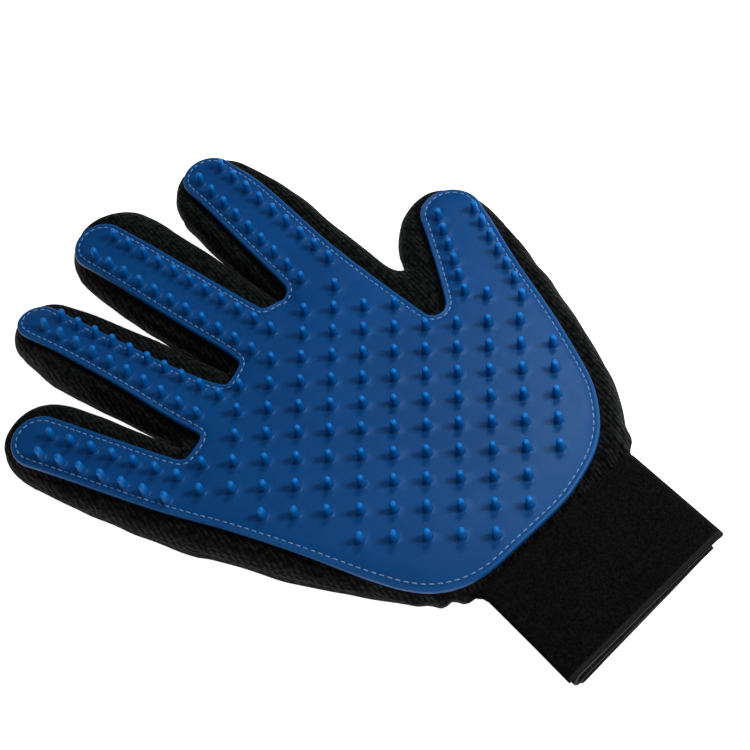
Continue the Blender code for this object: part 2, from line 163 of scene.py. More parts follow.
WIDEST_SHARE = 0.55  # height of the widest line, as a share of the thickness
CUFF_CUT_Y = 29.0
CUFF_ENTRY_TOP = 10.4  # the palm's fabric narrows to this band of heights inside the cuff
CUFF_ENTRY_FLOOR = 7.4

# Cuff: a flattened tube of cloth under the strap
CUFF_TOP = 12.6
CUFF_BOTTOM = 5.4
CUFF_MIDDLE_X = 1.1
CUFF_HALF_HEIGHT = (CUFF_TOP - CUFF_BOTTOM) / 2
CUFF_FLAT_STEPS = 26
CUFF_FOLD_STEPS = 9
CUFF_RINGS = 14
STRAP_LINE = ((31.2, 4.6), (32.0, 6.5), (32.4, 9.5), (32.4, 12.4), (32.0, 14.4), (30.2, 15.4), (27.0, 15.6),
              (15.0, 15.5), (0.0, 15.2), (-16.0, 14.8), (-25.0, 14.6), (-31.5, 14.5))
STRAP_STEP = 1.3
STRAP_THICK = 1.5
STRAP_ACROSS = 26
HOOK_TAPE = (-28.5, -8.0)
HOOK_PITCH = 1.5
TAPE_EDGES_Y = (5.0, 32.0)
TAPE_CORNER = 2.5
STRAP_FOLD = ((0.0326, 0.018, 0.0125), (0.0265, 0.018, 0.0164))  # metres, where the strap's bend runs
HOOK_TAPE_THICK = 0.4

CHAINS = {name: ("palm", name + "_base", name + "_middle", name + "_tip")
          for name in ("index", "middle", "ring", "little")}
CHAINS["thumb"] = ("palm", "thumb_base", "thumb_tip")
ROOT_BORDER = dict.fromkeys(CHAINS, -6.0) | {"thumb": -2.5}
BEND_REACH = 6.5  # a knuckle's bend runs this far to each side of its axis
WRIST_BORDER_Y = 50.0
WRIST_BEND = (48.0, 34.0)


def mesh_points(mesh):
    """A mesh's points, in millimetres."""
    return np.array([vertex.co for vertex in mesh.vertices]) / MM


def mesh_normals(mesh):
    return np.array([item.vector for item in mesh.vertex_normals])


# ---- places taken from the frame ----

class Finger:
    """Knuckle places and pad measures of one finger, read from the frame."""

    def __init__(self, name):
        joints = {joint["child"]: joint for joint in frame["joints"]}
        self.name = name
        self.chain = CHAINS[name]
        axes = [joints[body] for body in self.chain[1:]]
        self.origin = np.array(axes[0]["pos_m"][:2]) / MM
        self.right = np.array(axes[0]["axis"][:2])
        self.forward = np.array([-self.right[1], self.right[0]])
        places = [np.array(axis["pos_m"][:2]) / MM for axis in axes]
        self.knuckles = [float((place - self.origin) @ self.forward) for place in places]
        tip = mesh_points(frame["nodes"][self.chain[-1] + "_pad"].data)
        self.pad_end = float(self.local(tip[:, 0], tip[:, 1])[1].max())

    def local(self, x, y):
        """Distances aside and along, from the first knuckle."""
        dx, dy = x - self.origin[0], y - self.origin[1]
        return dx * self.right[0] + dy * self.right[1], dx * self.forward[0] + dy * self.forward[1]

    def world(self, aside, along):
        return self.origin + self.right * aside + self.forward * along

    def sleeve(self, x, y):
        """How far inside this finger's sleeve a place is."""
        aside, along = self.local(x, y)
        rows, beyond = np.array(SLEEVES[self.name][0]), SLEEVES[self.name][1]
        left = np.interp(along, rows[:, 0], rows[:, 1])
        right = np.interp(along, rows[:, 0], rows[:, 2])
        half = (left + right) / 2
        over = np.maximum(along - (self.pad_end + beyond - half), 0.0)
        inside = half - np.hypot(aside - (right - left) / 2, over)
        return np.minimum(inside, along - SLEEVE_START)


fingers = [Finger(name) for name in CHAINS]
finger_named = {finger.name: finger for finger in fingers}
bends = [(finger, k) for finger in fingers for k in range(len(finger.knuckles))]


# ---- outlines ----

def smooth_corners(points, rounds):
    """Cut every corner of a closed outline, a few times over."""
    points = np.array(points, float)
    for _ in range(rounds):
        after = np.roll(points, -1, axis=0)
        points = np.stack((0.75 * points + 0.25 * after, 0.25 * points + 0.75 * after), axis=1).reshape(-1, 2)
    return points


def lengths_along(points):
    return np.concatenate(([0.0], np.cumsum(np.hypot(*np.diff(points, axis=0).T))))


def resample(points, step):
    """Evenly spaced points along a closed outline."""
    closed = np.vstack((points, points[:1]))
    marks = lengths_along(closed)
    count = max(8, int(round(marks[-1] / step)))
    at = np.arange(count) * marks[-1] / count
    return np.column_stack((np.interp(at, marks, closed[:, 0]), np.interp(at, marks, closed[:, 1])))


def unit(vectors):
    return vectors / np.hypot(vectors[:, 0], vectors[:, 1])[:, None]


def directions_along(points):
    """Unit directions along a closed outline."""
    return unit(np.roll(points, -1, axis=0) - np.roll(points, 1, axis=0))


def inward(points):
    """Unit directions that point into an anticlockwise outline."""
    along = directions_along(points)
    return np.column_stack((-along[:, 1], along[:, 0]))


def distance_inside(outline, x, y):
    """Signed distance to a closed outline, positive inside, for arrays of places."""
    best = np.full(x.shape, 1e9)
    inside = np.zeros(x.shape, bool)
    for (ax, ay), (bx, by) in zip(outline, np.roll(outline, -1, axis=0)):
        ux, uy = bx - ax, by - ay
        share = np.clip(((x - ax) * ux + (y - ay) * uy) / (ux * ux + uy * uy), 0.0, 1.0)
        best = np.minimum(best, np.hypot(x - ax - share * ux, y - ay - share * uy))
        if ay != by:
            inside ^= ((ay > y) != (by > y)) & (x < ax + (y - ay) * ux / uy)
    return np.where(inside, best, -best)


def finger_face_outline(finger):
    """Right side, rounded end and left side of the silicone strip on one finger."""
    rows, beyond = FACES[finger.name]
    _, left, right = rows[-1]
    half, aside = (left + right) / 2, (right - left) / 2
    centre = finger.pad_end + beyond - half
    points = [finger.world(r, along) for along, _, r in rows]
    for angle in np.radians(np.linspace(0, 180, 15)):
        points.append(finger.world(aside + half * math.cos(angle), centre + half * math.sin(angle)))
    return points + [finger.world(-l, along) for along, l, _ in rows[::-1]]


def slot_end(before, corners, after):
    """Flat end of a slot with two small rounded corners, between the finger sides before and after it."""
    first, second = np.array(corners[0]), np.array(corners[1])
    across = (second - first) / np.hypot(*(second - first))
    up_first = (before - first) / np.hypot(*(before - first))
    up_second = (after - second) / np.hypot(*(after - second))
    return [first + up_first * SLOT_CORNER, first + across * SLOT_CORNER,
            second - across * SLOT_CORNER, second + up_second * SLOT_CORNER]


def pad_outline():
    """The silicone face's whole edge, anticlockwise from the wrist."""
    points = [np.array(p, float) for p in PAD_WRIST_SIDE + PAD_THUMB_SIDE]
    order = ("thumb", "index", "middle", "ring", "little")
    sides = [finger_face_outline(finger_named[name]) for name in order]
    for index, name in enumerate(order):
        points += sides[index]
        corners = PAD_SLOTS.get(name, ())
        if len(corners) == 2:
            corners = slot_end(sides[index][-1], corners, sides[index + 1][0])
        points += corners
    points += [np.array(p, float) for p in PAD_LITTLE_SIDE]
    return resample(smooth_corners(points, 2), OUTLINE_STEP)


PAD_EDGE = pad_outline()
PALM_EDGE = smooth_corners(PALM_FABRIC, 2)


# ---- the fabric as an implicit solid ----

def smooth_union(first, second):
    """Larger of two inside distances, with a small fillet where they meet."""
    share = np.clip(0.5 + 0.5 * (first - second) / CROTCH_BLEND, 0.0, 1.0)
    return second + (first - second) * share + CROTCH_BLEND * share * (1 - share)


def fabric_inside(x, y):
    inside = distance_inside(PALM_EDGE, x, y)
    for finger in fingers:
        inside = smooth_union(inside, finger.sleeve(x, y))
    return inside


def cover_inside(finger, x, y):
    """Inside distance of a finger's own cover, which keeps the whole outline where it has no neighbour."""
    aside, _ = finger.local(x, y)
    return np.where(aside * FREE_SIDE.get(finger.name, 0) > 0, fabric_inside(x, y), finger.sleeve(x, y))


def palm_inside(x, y):
    """The palm alone, without the fingers and the wrist."""
    return np.minimum(distance_inside(PALM_EDGE, x, y), y - INNER_START_Y)


def ease(value, low, high):
    share = np.clip((value - low) / (high - low), 0.0, 1.0)
    return share * share * (3 - 2 * share)


def roll(x, y):
    """Slope across the ring finger at a place, none elsewhere, and the distance aside."""
    ring = finger_named["ring"]
    aside, along = ring.local(x, y)
    return RING_ROLL * ease(along, -8.0, 22.0) * ease(ring.sleeve(x, y), 0.0, 3.0), aside


def padding(x, y, inside):
    """Height of the padded front under the silicone: crowned, a little lower at the wrist."""
    slope, aside = roll(x, y)
    crown = 1.0 * (1 - np.exp(-np.maximum(inside, 0.0) / 10.0))
    return PADDING_HEIGHT + crown - 0.9 * (1 - ease(y, 37.0, 60.0)) - slope * np.clip(aside, -10.0, 10.0)


def edge_tuck(x, y):
    """Groove where the stitched edge of the silicone pulls the padding down, and the roll beside it."""
    outside = -distance_inside(PAD_EDGE, x, y)
    return -1.1 * np.exp(-((outside - 0.9) / 1.3) ** 2) + 0.55 * np.exp(-((outside - 4.2) / 2.0) ** 2)


def fabric_top(x, y, inside):
    """Height of the front fabric, which drops into the cuff at the wrist."""
    top = padding(x, y, inside) + edge_tuck(x, y)
    return CUFF_ENTRY_TOP + (top - CUFF_ENTRY_TOP) * ease(y, 35.0, 42.0)


def fabric_floor(y):
    return CUFF_ENTRY_FLOOR * (1 - ease(y, 34.0, 47.0))


def edge_rise(inside, reach, power):
    """Share of the full height that a rounded edge reaches at a distance inside the outline."""
    gap = np.clip((reach - inside) / reach, 0.0, 1.0)
    return (1 - gap ** power) ** (1 / power)


def pad_height(x, y):
    """Top of the silicone sheet, which is stiffer than the padding and droops less at its edges."""
    inside = fabric_inside(x, y)
    top = padding(x, y, inside)
    droop = (top - top * WIDEST_SHARE) * (1 - edge_rise(inside, EDGE_ROUND_TOP, 2.8))
    return top + PAD_LIFT - np.minimum(PAD_DROOP * droop, PAD_DROOP_MOST)


def fabric_value(inside, top, floor, z, back_round):
    """Negative inside the fabric; back_round is the reach of the rounding on the back of the hand."""
    middle = floor + (top - floor) * WIDEST_SHARE
    above = z > middle
    power = np.where(above, 2.8, 2.3)
    reach = np.where(above, EDGE_ROUND_TOP, back_round)
    half = np.where(above, top - middle, middle - floor)
    side = np.maximum(reach - inside, 0.0) / reach
    return side ** power + (np.abs(z - middle) / half) ** power - 1.0


def surface_net(field, low, step):
    """Quads around the zero level of a field on a grid: one point in each cell that the level crosses."""
    nx, ny, nz = (n - 1 for n in field.shape)
    total = np.zeros((nx, ny, nz, 3))
    count = np.zeros((nx, ny, nz))
    corners = [(i, j, k) for i in (0, 1) for j in (0, 1) for k in (0, 1)]
    for a in corners:
        for b in corners:
            if sum(b) - sum(a) != 1 or any(q < p for p, q in zip(a, b)):
                continue
            fa = field[a[0]:a[0] + nx, a[1]:a[1] + ny, a[2]:a[2] + nz]
            fb = field[b[0]:b[0] + nx, b[1]:b[1] + ny, b[2]:b[2] + nz]
            crosses = (fa < 0) != (fb < 0)
            share = np.where(crosses, fa / np.where(crosses, fa - fb, 1.0), 0.0)
            for axis in range(3):
                total[..., axis] += np.where(crosses, a[axis] + share * (b[axis] - a[axis]), 0.0)
            count += crosses
    used = count > 0
    number = np.full(used.shape, -1)
    number[used] = np.arange(used.sum())
    cell = np.argwhere(used)
    points = (cell + total[used] / count[used][:, None]) * step + low
    faces = []
    solid = field < 0
    for axis in range(3):
        one, two = (axis + 1) % 3, (axis + 2) % 3
        near = np.take(solid, range(solid.shape[axis] - 1), axis)
        far = np.take(solid, range(1, solid.shape[axis]), axis)
        for spot in np.argwhere(near != far):
            around = []
            for d_one, d_two in ((-1, -1), (0, -1), (0, 0), (-1, 0)):
                place = spot.copy()
                place[one] += d_one
                place[two] += d_two
                if (place < 0).any() or (place >= used.shape).any():
                    break
                around.append(number[tuple(place)])
            if len(around) == 4 and min(around) >= 0:
                faces.append(tuple(around) if near[tuple(spot)] else tuple(around[::-1]))
    return points, faces


# ---- meshes and pieces ----

def add_attribute(mesh, label, values):
    kind, key = ("FLOAT_VECTOR", "vector") if np.ndim(values) == 2 else ("FLOAT", "value")
    layer = mesh.attributes.new(label, kind, "POINT")
    layer.data.foreach_set(key, np.ravel(values).astype(np.float32))


def make_mesh(name, points, faces, **attributes):
    mesh = bpy.data.meshes.new(name)
    mesh.from_pydata((np.asarray(points) * MM).tolist(), [], [tuple(map(int, face)) for face in faces])
    for label, values in attributes.items():
        add_attribute(mesh, label, values)
    mesh.shade_smooth()
    return mesh


def place(name, mesh, materials):
    for material in materials:
        mesh.materials.append(material)
    piece = bpy.data.objects.new(name, mesh)
    bpy.context.scene.collection.objects.link(piece)
    return piece


def add_piece(name, mesh, material, body, slot, *replaced):
    """Place a piece that rides one body, over the solids that it replaces; the slot argument is not used."""
    piece = place(name, mesh, [material])
    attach(piece, body)
    if replaced:
        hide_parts(*replaced)


def first_number(finger):
    """Number of the piece at a finger's first bend: 0 is the palm and 1 the wrist."""
    return 2 + bends.index((finger, 0))


def bend_at(finger, along):
    """Which of a finger's bends, from 0, a distance along it belongs to; -1 before the first."""
    middles = [(low + high) / 2 for low, high in zip(finger.knuckles, finger.knuckles[1:])]
    return np.searchsorted([ROOT_BORDER[finger.name]] + middles, along, side="right") - 1


def group_faces(x, y):
    """Number of the piece that each face belongs to: the palm's, then each finger's bends."""
    owner = np.argmax([finger.sleeve(x, y) for finger in fingers], axis=0)
    group = np.zeros(len(x), int)
    for index, finger in enumerate(fingers):
        bend = bend_at(finger, finger.local(x, y)[1])
        group = np.where((owner == index) & (bend >= 0), first_number(finger) + bend, group)
    return group


def group_palm_fabric(x, y):
    """The palm and the wrist, with the web beside the thumb; faces of the fingers' sleeves get -1."""
    group = group_faces(x, y)
    sleeve = np.max([cover_inside(finger, x, y) for finger in fingers], axis=0)
    web = (sleeve < WALL_DEPTH) & (distance_inside(PALM_EDGE, x, y) > sleeve + WEB_MARGIN)
    group[(group > 1) & web] = 0
    group[group > 1] = -1
    group[y < WRIST_BORDER_Y] = 1
    return group


def group_sleeve(x, y, finger):
    """The bends of one finger's sleeve, whose side walls run on under the palm's fabric."""
    _, along = finger.local(x, y)
    sleeve = cover_inside(finger, x, y)
    bend = bend_at(finger, along)
    wall = sleeve < WALL_DEPTH
    hidden = wall & (fabric_inside(x, y) > sleeve + HIDDEN_MARGIN)
    under_palm = hidden & (along >= ROOT_BORDER[finger.name] - WALL_UNDER_PALM)
    group = np.where(bend >= 0, bend, np.where(under_palm, 0, -1))
    web = wall & (distance_inside(PALM_EDGE, x, y) > sleeve + WEB_MARGIN)
    return np.where((group < 0) | (web & ~hidden), -1, first_number(finger) + group)


def follow(piece, number, kinds):
    """Put a piece on its body, or bend it between the two bodies of its joint."""
    body = "palm"
    if number == 0:
        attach(piece, "palm")
    elif number == 1:
        start, end = WRIST_BEND
        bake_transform(piece, "palm", "cuff", start=(0, start * MM, 0), end=(0, end * MM, 0))
    else:
        finger, k = bends[number - 2]
        body = finger.chain[k + 1]
        low = ROOT_BORDER[finger.name] + 1.0 if k == 0 else finger.knuckles[k] - BEND_REACH
        start = finger.world(0.0, low) * MM
        end = finger.world(0.0, low + 2 * BEND_REACH) * MM
        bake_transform(piece, finger.chain[k], body, start=(*start, 0.0), end=(*end, 0.0))
    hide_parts(*[body + kind for kind in kinds])


def group_name(number):
    return (["palm", "wrist"] + [f"{finger.name}_{k + 1}" for finger, k in bends])[number]


def cut_into_pieces(prefix, mesh, materials, kinds, grouping=group_faces):
    """Cut a whole mesh into the pieces that follow the frame's bodies, keeping its smooth shading."""
    points = mesh_points(mesh)
    normals = mesh_normals(mesh)
    floats = {layer.name: np.array([item.value for item in layer.data])
              for layer in mesh.attributes if layer.data_type == "FLOAT" and layer.domain == "POINT"}
    faces = [tuple(polygon.vertices) for polygon in mesh.polygons]
    centres = np.array([points[list(face)].mean(axis=0) for face in faces])
    finish = np.array([polygon.material_index for polygon in mesh.polygons])
    group = grouping(centres[:, 0], centres[:, 1])
    for number in np.unique(group[group >= 0]):
        mine = np.flatnonzero(group == number)
        used = np.unique(np.concatenate([faces[i] for i in mine]))
        renumber = np.full(len(points), -1)
        renumber[used] = np.arange(len(used))
        attributes = {label: values[used] for label, values in floats.items()}
        name = prefix + "_" + group_name(number)
        part = make_mesh(name, points[used], [renumber[list(faces[i])] for i in mine], rest=points[used],
                         **attributes)
        part.polygons.foreach_set("material_index", finish[mine])
        part.normals_split_custom_set_from_vertices(normals[used].tolist())
        follow(place(name, part, materials), number, kinds)


# ---- the padded fabric ----

def wrinkles(points, normals):
    """How far the cloth stands out or in: gathers at the wrist, soft folds, and the sewn side seam."""
    x, y, z = points.T
    side = 1 - np.abs(normals[:, 2])
    swell = np.array([noise.noise(Vector(p) * 0.055) for p in points])
    folds = np.array([noise.noise(Vector((p[0] * 0.10, p[1] * 0.10, p[2] * 0.22 + 9.0))) for p in points])
    gathers = np.sin(x * 1.05 + 1.6 * swell) * np.exp(-((y - 41.0) / 6.5) ** 2)
    floor = fabric_floor(y)
    middle = floor + (fabric_top(x, y, fabric_inside(x, y)) - floor) * WIDEST_SHARE
    seam = np.exp(-((z - middle + 1.0) / 0.9) ** 2) * side
    lip = np.exp(-((z - middle - 1.4) / 1.2) ** 2) * side
    return 0.45 * swell + 0.5 * folds * side + 0.75 * gathers - 0.8 * seam + 0.35 * lip


def cropped_grid(inside_at, shrink):
    """Columns of the grid around an outline: its low corner, the places, and the inside distances."""
    low = np.array(GRID_LOW)
    x, y = np.meshgrid(*[np.arange(a, b, GRID) for a, b in zip(low[:2], GRID_HIGH)], indexing="ij")
    inside = inside_at(x, y) - shrink
    wanted = inside > -2.5 * GRID
    rows, columns = (np.flatnonzero(wanted.any(axis=axis)) for axis in (1, 0))
    low[:2] += np.array((rows[0], columns[0])) * GRID
    part = (slice(rows[0], rows[-1] + 1), slice(columns[0], columns[-1] + 1))
    return low, x[part], y[part], inside[part]


def smooth_and_trim(mesh):
    """Even out the surface, without the points that no face uses."""
    shape = bmesh.new()
    shape.from_mesh(mesh)
    loose = [vertex for vertex in shape.verts if not vertex.link_faces]
    bmesh.ops.delete(shape, geom=loose, context="VERTS")
    for _ in range(SMOOTH_ROUNDS):
        bmesh.ops.smooth_vert(shape, verts=shape.verts, factor=0.5,
                              use_axis_x=True, use_axis_y=True, use_axis_z=True)
    shape.to_mesh(mesh)
    shape.free()


def fabric_mesh(inside_at, shrink=0.0):
    """Padded solid over an outline; shrink draws it in on all sides, for a layer under the outer one."""
    low, x, y, inside = cropped_grid(inside_at, shrink)
    heights = np.arange(GRID_LOW[2], GRID_HIGH[2], GRID)
    top = fabric_top(x, y, fabric_inside(x, y)) - shrink
    floor = fabric_floor(y) + shrink
    back_round = EDGE_ROUND_BACK + 9.0 * (1 - ease(y, 45.0, 85.0)) * ease(-x, 10.0, 30.0)
    field = fabric_value(*[plan[..., None] for plan in (inside, top, floor)], heights[None, None, :],
                         back_round[..., None])
    points, faces = surface_net(np.clip(field, -2, 2), low, GRID)
    mesh = make_mesh("fabric", points, [face for face in faces if points[list(face), 1].mean() > CUFF_CUT_Y])
    smooth_and_trim(mesh)
    points = mesh_points(mesh)
    normals = mesh_normals(mesh)
    moved = points + normals * wrinkles(points, normals)[:, None]
    moved[:, 2] = np.maximum(moved[:, 2], 0.0)
    mesh.vertices.foreach_set("co", (moved * MM).ravel())
    add_attribute(mesh, "rest", moved)
    for polygon in mesh.polygons:
        polygon.material_index = int(polygon.center.z / MM < SEAM_HEIGHT)
    mesh.shade_smooth()
    return mesh


# ---- the silicone face ----

def shifted(tip):
    """Place of a nub on its finger's strip, next to the frame's place for it."""
    for finger in fingers:
        aside, along = finger.local(*tip)
        if along > NUB_SHIFT_REACH[0] and abs(aside) < NUB_SHIFT_REACH[1] and finger.sleeve(*tip) > 0:
            left_along, right_along, left_aside, right_aside = NUB_SHIFTS[finger.name]
            if aside < 0:
                return finger.world(aside + left_aside, along + left_along)
            return finger.world(aside + right_aside, along + right_along)
    return tip


def nub_places():
    """Middles of the nubs: the frame's, with the fingers' own columns moved to where they sit."""
    tips = []
    for name, node in frame["nodes"].items():
        if not name.endswith("_pad"):
            continue
        points = mesh_points(node.data)
        tall = points[points[:, 2] > points[:, 2].max() - 0.05]
        while len(tall):
            near = np.hypot(*(tall[:, :2] - tall[0, :2]).T) < 3.0
            tips.append(tall[near, :2].min(axis=0) / 2 + tall[near, :2].max(axis=0) / 2)
            tall = tall[~near]
    return np.array([shifted(tip) for tip in tips])


def add_ring(points, faces, last, places, values, flip=False):
    """Add a ring of places, join it to the last ring with quads, and return its numbers."""
    ring = list(range(len(points), len(points) + len(places)))
    points += [(x, y, *values) for x, y in places]
    count = len(ring)
    for i in range(count):
        quad = (last[i], last[(i + 1) % count], ring[(i + 1) % count], ring[i])
        faces.append(quad[::-1] if flip else quad)
    return ring


def loop_edges(first, count):
    return [(first + i, first + (i + 1) % count) for i in range(count)]


def fill_loop(loop, numbers):
    """Triangles inside a closed loop of places, in the numbers of its points."""
    made = delaunay_2d_cdt([Vector(p) for p in loop], loop_edges(0, len(loop)), [], 1, MERGE)
    known = {new: numbers[olds[0]] for new, olds in enumerate(made[3]) if olds}
    return [tuple(known[v] for v in triangle) for triangle in made[2] if all(v in known for v in triangle)]


def sheet_face(face_edge, feet, tips):
    """Flat face between its edge and the nubs' feet: places, triangles, and the given points' numbers."""
    low, high = face_edge.min(axis=0), face_edge.max(axis=0)
    rows = np.arange(low[1], high[1], FACE_STEP * 0.87)
    spread = np.array([(x + FACE_STEP / 2 * (i % 2), y) for i, y in enumerate(rows)
                       for x in np.arange(low[0], high[0], FACE_STEP)])
    spread = spread[distance_inside(face_edge, spread[:, 0], spread[:, 1]) > FACE_CLEARANCE]
    for tip in tips:
        spread = spread[np.hypot(*(spread - tip).T) > NUB_PROFILE[0][0] + FOOT_CLEARANCE]
    edges = loop_edges(0, len(face_edge))
    for n in range(len(feet)):
        edges += loop_edges(len(face_edge) + n * NUB_SIDES, NUB_SIDES)
    made = delaunay_2d_cdt([Vector(p) for p in np.vstack([face_edge] + feet + [spread])], edges, [], 0, MERGE)
    spots = np.array([tuple(p) for p in made[0]])
    triangles = np.array(made[2])
    centres = spots[triangles].mean(axis=1)
    kept = distance_inside(face_edge, centres[:, 0], centres[:, 1]) > 0
    for tip in tips:
        kept &= np.hypot(*(centres - tip).T) > NUB_PROFILE[0][0] * 0.97
    number = {olds[0]: new for new, olds in enumerate(made[3]) if olds}
    return spots, [tuple(triangle) for triangle in triangles[kept]], number


def silicone_mesh():
    """One closed sheet: moulded edge, stitched channel, face and nubs."""
    aim = inward(PAD_EDGE)
    rings = [PAD_EDGE + aim * inset for inset, _ in PAD_RIM]
    tips = nub_places()
    angles = np.arange(NUB_SIDES) * 2 * math.pi / NUB_SIDES
    circle = np.column_stack((np.cos(angles), np.sin(angles)))
    spots, faces, number = sheet_face(rings[-1], [tip + circle * NUB_PROFILE[0][0] for tip in tips], tips)
    # Each point: x, y, height over the sheet, share of a nub tip's painted highlight, share of the rim's
    # painted highlight
    points = [(x, y, 0.0, 0.0, 0.0) for x, y in spots]
    inner = [number[i] for i in range(len(rings[-1]))]
    for i in inner:
        points[i] = (*points[i][:2], PAD_RIM[-1][1], 0.0, 0.0)
    # Points on the rounded top of the moulded edge are marked for the rim's painted highlight
    for (inset, rise), ring in list(zip(PAD_RIM, rings))[-2::-1]:
        inner = add_ring(points, faces, inner, ring, (rise, 0.0, float(-1.0 < rise and inset < 1.0)), True)
    faces += [triangle[::-1] for triangle in fill_loop(rings[0], inner)]
    for n, tip in enumerate(tips):
        first = len(rings[-1]) + n * NUB_SIDES
        lower = [number[first + i] for i in range(NUB_SIDES)]
        lean = float(roll(*tip)[0]) * finger_named["ring"].right
        # The nub's painted highlight grows with its height and is full at the tip
        for radius, rise in NUB_PROFILE[1:]:
            ring = tip + circle * radius + lean * rise
            lower = add_ring(points, faces, lower, ring, (rise, rise / NUB_TOP, 0.0))
        faces += [(lower[i], lower[(i + 1) % NUB_SIDES], len(points)) for i in range(NUB_SIDES)]
        points.append((*(tip + lean * NUB_TOP), NUB_TOP, 1.0, 0.0))
    x, y, height, tip_glow, rim_glow = np.array(points).T
    places = np.column_stack((x, y, pad_height(x, y) + height))
    return make_mesh("silicone", places, faces, tip_glow=tip_glow, rim_glow=rim_glow)


def add_rod(points, faces, centres, radii, across, up, sides):
    """Add a closed rod: rings around the centres, in the plane of two directions."""
    first = len(points)
    for centre, radius in zip(centres, radii):
        for angle in np.arange(sides) * 2 * math.pi / sides:
            points.append(centre + radius * (across * math.cos(angle) + up * math.sin(angle)))
    last = len(points) - sides
    for start in range(first, last, sides):
        faces += [(a, b, b + sides, a + sides) for a, b in loop_edges(start, sides)]
    faces.append(tuple(first + side for side in range(sides))[::-1])
    faces.append(tuple(last + side for side in range(sides)))


def stitches_mesh(name, places, directions, length, radius):
    """Raised stitches: small rounded bars whose ends dip into the cloth."""
    sections = ((-0.5, 0.25, -0.30), (-0.42, 0.8, -0.1), (-0.2, 1.0, 0.0), (0.2, 1.0, 0.0),
                (0.42, 0.8, -0.1), (0.5, 0.25, -0.30))
    up = np.array([0.0, 0.0, 1.0])
    points, faces = [], []
    for middle, (ahead_x, ahead_y) in zip(places, directions):
        ahead = np.array([ahead_x, ahead_y, 0.0])
        centres = [middle + ahead * share * length + up * dip for share, _, dip in sections]
        radii = [radius * width for _, width, _ in sections]
        add_rod(points, faces, centres, radii, np.array([-ahead_y, ahead_x, 0.0]), up, 6)
    return make_mesh(name, points, faces, rest=np.array(points))


def stitching_mesh():
    """Dashed lockstitch in the channel inside the silicone's edge."""
    line = resample(PAD_EDGE + inward(PAD_EDGE) * STITCH_INSET, STITCH_PITCH)
    places = np.column_stack((line, pad_height(line[:, 0], line[:, 1])))
    return stitches_mesh("stitching", places, directions_along(line), STITCH_LENGTH, STITCH_RADIUS)


# ---- the cuff and its strap ----

def mouth_y(x, z):
    """The cuff's mouth is cut a little askew, and its lower layers end short of the upper one."""
    return 0.35 + 0.056 * x + (1.4 + 0.04 * x) * np.clip((CUFF_TOP - z) / (CUFF_TOP - CUFF_BOTTOM), 0, 1.2)


def wrist_end_y(x):
    return 36.8 + 0.037 * x


def along_cuff(x, z, share):
    return mouth_y(x, z) + (wrist_end_y(x) - mouth_y(x, z)) * share


def stadium(half_width, half_height):
    """Flattened tube section around the cuff's middle height: two long flats and two round folds."""
    reach = half_width - half_height
    top = [(x, half_height) for x in np.linspace(reach, -reach, CUFF_FLAT_STEPS, endpoint=False)]
    left = [(-reach - half_height * math.sin(a), half_height * math.cos(a))
            for a in np.linspace(0, math.pi, CUFF_FOLD_STEPS, endpoint=False)]
    half = np.array(top + left)
    return np.vstack((half, -half)) + np.array((CUFF_MIDDLE_X, (CUFF_TOP + CUFF_BOTTOM) / 2))


def ring_faces(rings, count, closed):
    faces = []
    for ring in range(rings if closed else rings - 1):
        following = (ring + 1) % rings
        for i in range(count):
            j = (i + 1) % count
            faces.append((ring * count + i, ring * count + j, following * count + j, following * count + i))
    return faces


def tube_mesh(name, half_width, half_height, wall, proud, share_end):
    """Walled cloth tube with rounded edges; proud is how far it stands out of the mouth."""
    outside = [(0.0, s) for s in np.linspace(share_end, 0.02, CUFF_RINGS)]
    rim = [(0.08, 0.004), (0.2, 0.0), (0.34, 0.007), (0.5, 0.0), (0.66, 0.007), (0.8, 0.0), (0.92, 0.006)]
    inside = [(1.0, s) for s in np.linspace(0.02, share_end, CUFF_RINGS)]
    points, edge = [], []
    for depth, share in outside + rim + inside:
        section = stadium(half_width - depth * wall, half_height - depth * wall)
        for x, z in section:
            ripple = noise.noise(Vector((x * 0.07, share * 2.2, z * 0.1 + 3.0)))
            y = along_cuff(x, z, share) - proud * (1 - share)
            points.append((x, y, z + 0.35 * ripple))
            # Three lines across the mouth's end get the paler edge colour: a paler binding, partly painted
            # highlight
            edge.append(float(depth in (0.2, 0.5, 0.8)))
    rings = len(outside + rim + inside)
    faces = ring_faces(rings, len(section), True)
    return make_mesh(name, points, faces, edge=edge, rest=np.array(points))


def strap_path():
    """The strap's middle line seen from the mouth: sewn end low on the thumb's side, fold, and flap."""
    line = np.array(STRAP_LINE, float)
    for _ in range(3):
        inner = np.stack((0.75 * line[:-1] + 0.25 * line[1:], 0.25 * line[:-1] + 0.75 * line[1:]), axis=1)
        line = np.vstack((line[:1], inner.reshape(-1, 2), line[-1:]))
    marks = lengths_along(line)
    at = np.arange(0.0, marks[-1], STRAP_STEP)
    return np.column_stack((np.interp(at, marks, line[:, 0]), np.interp(at, marks, line[:, 1])))


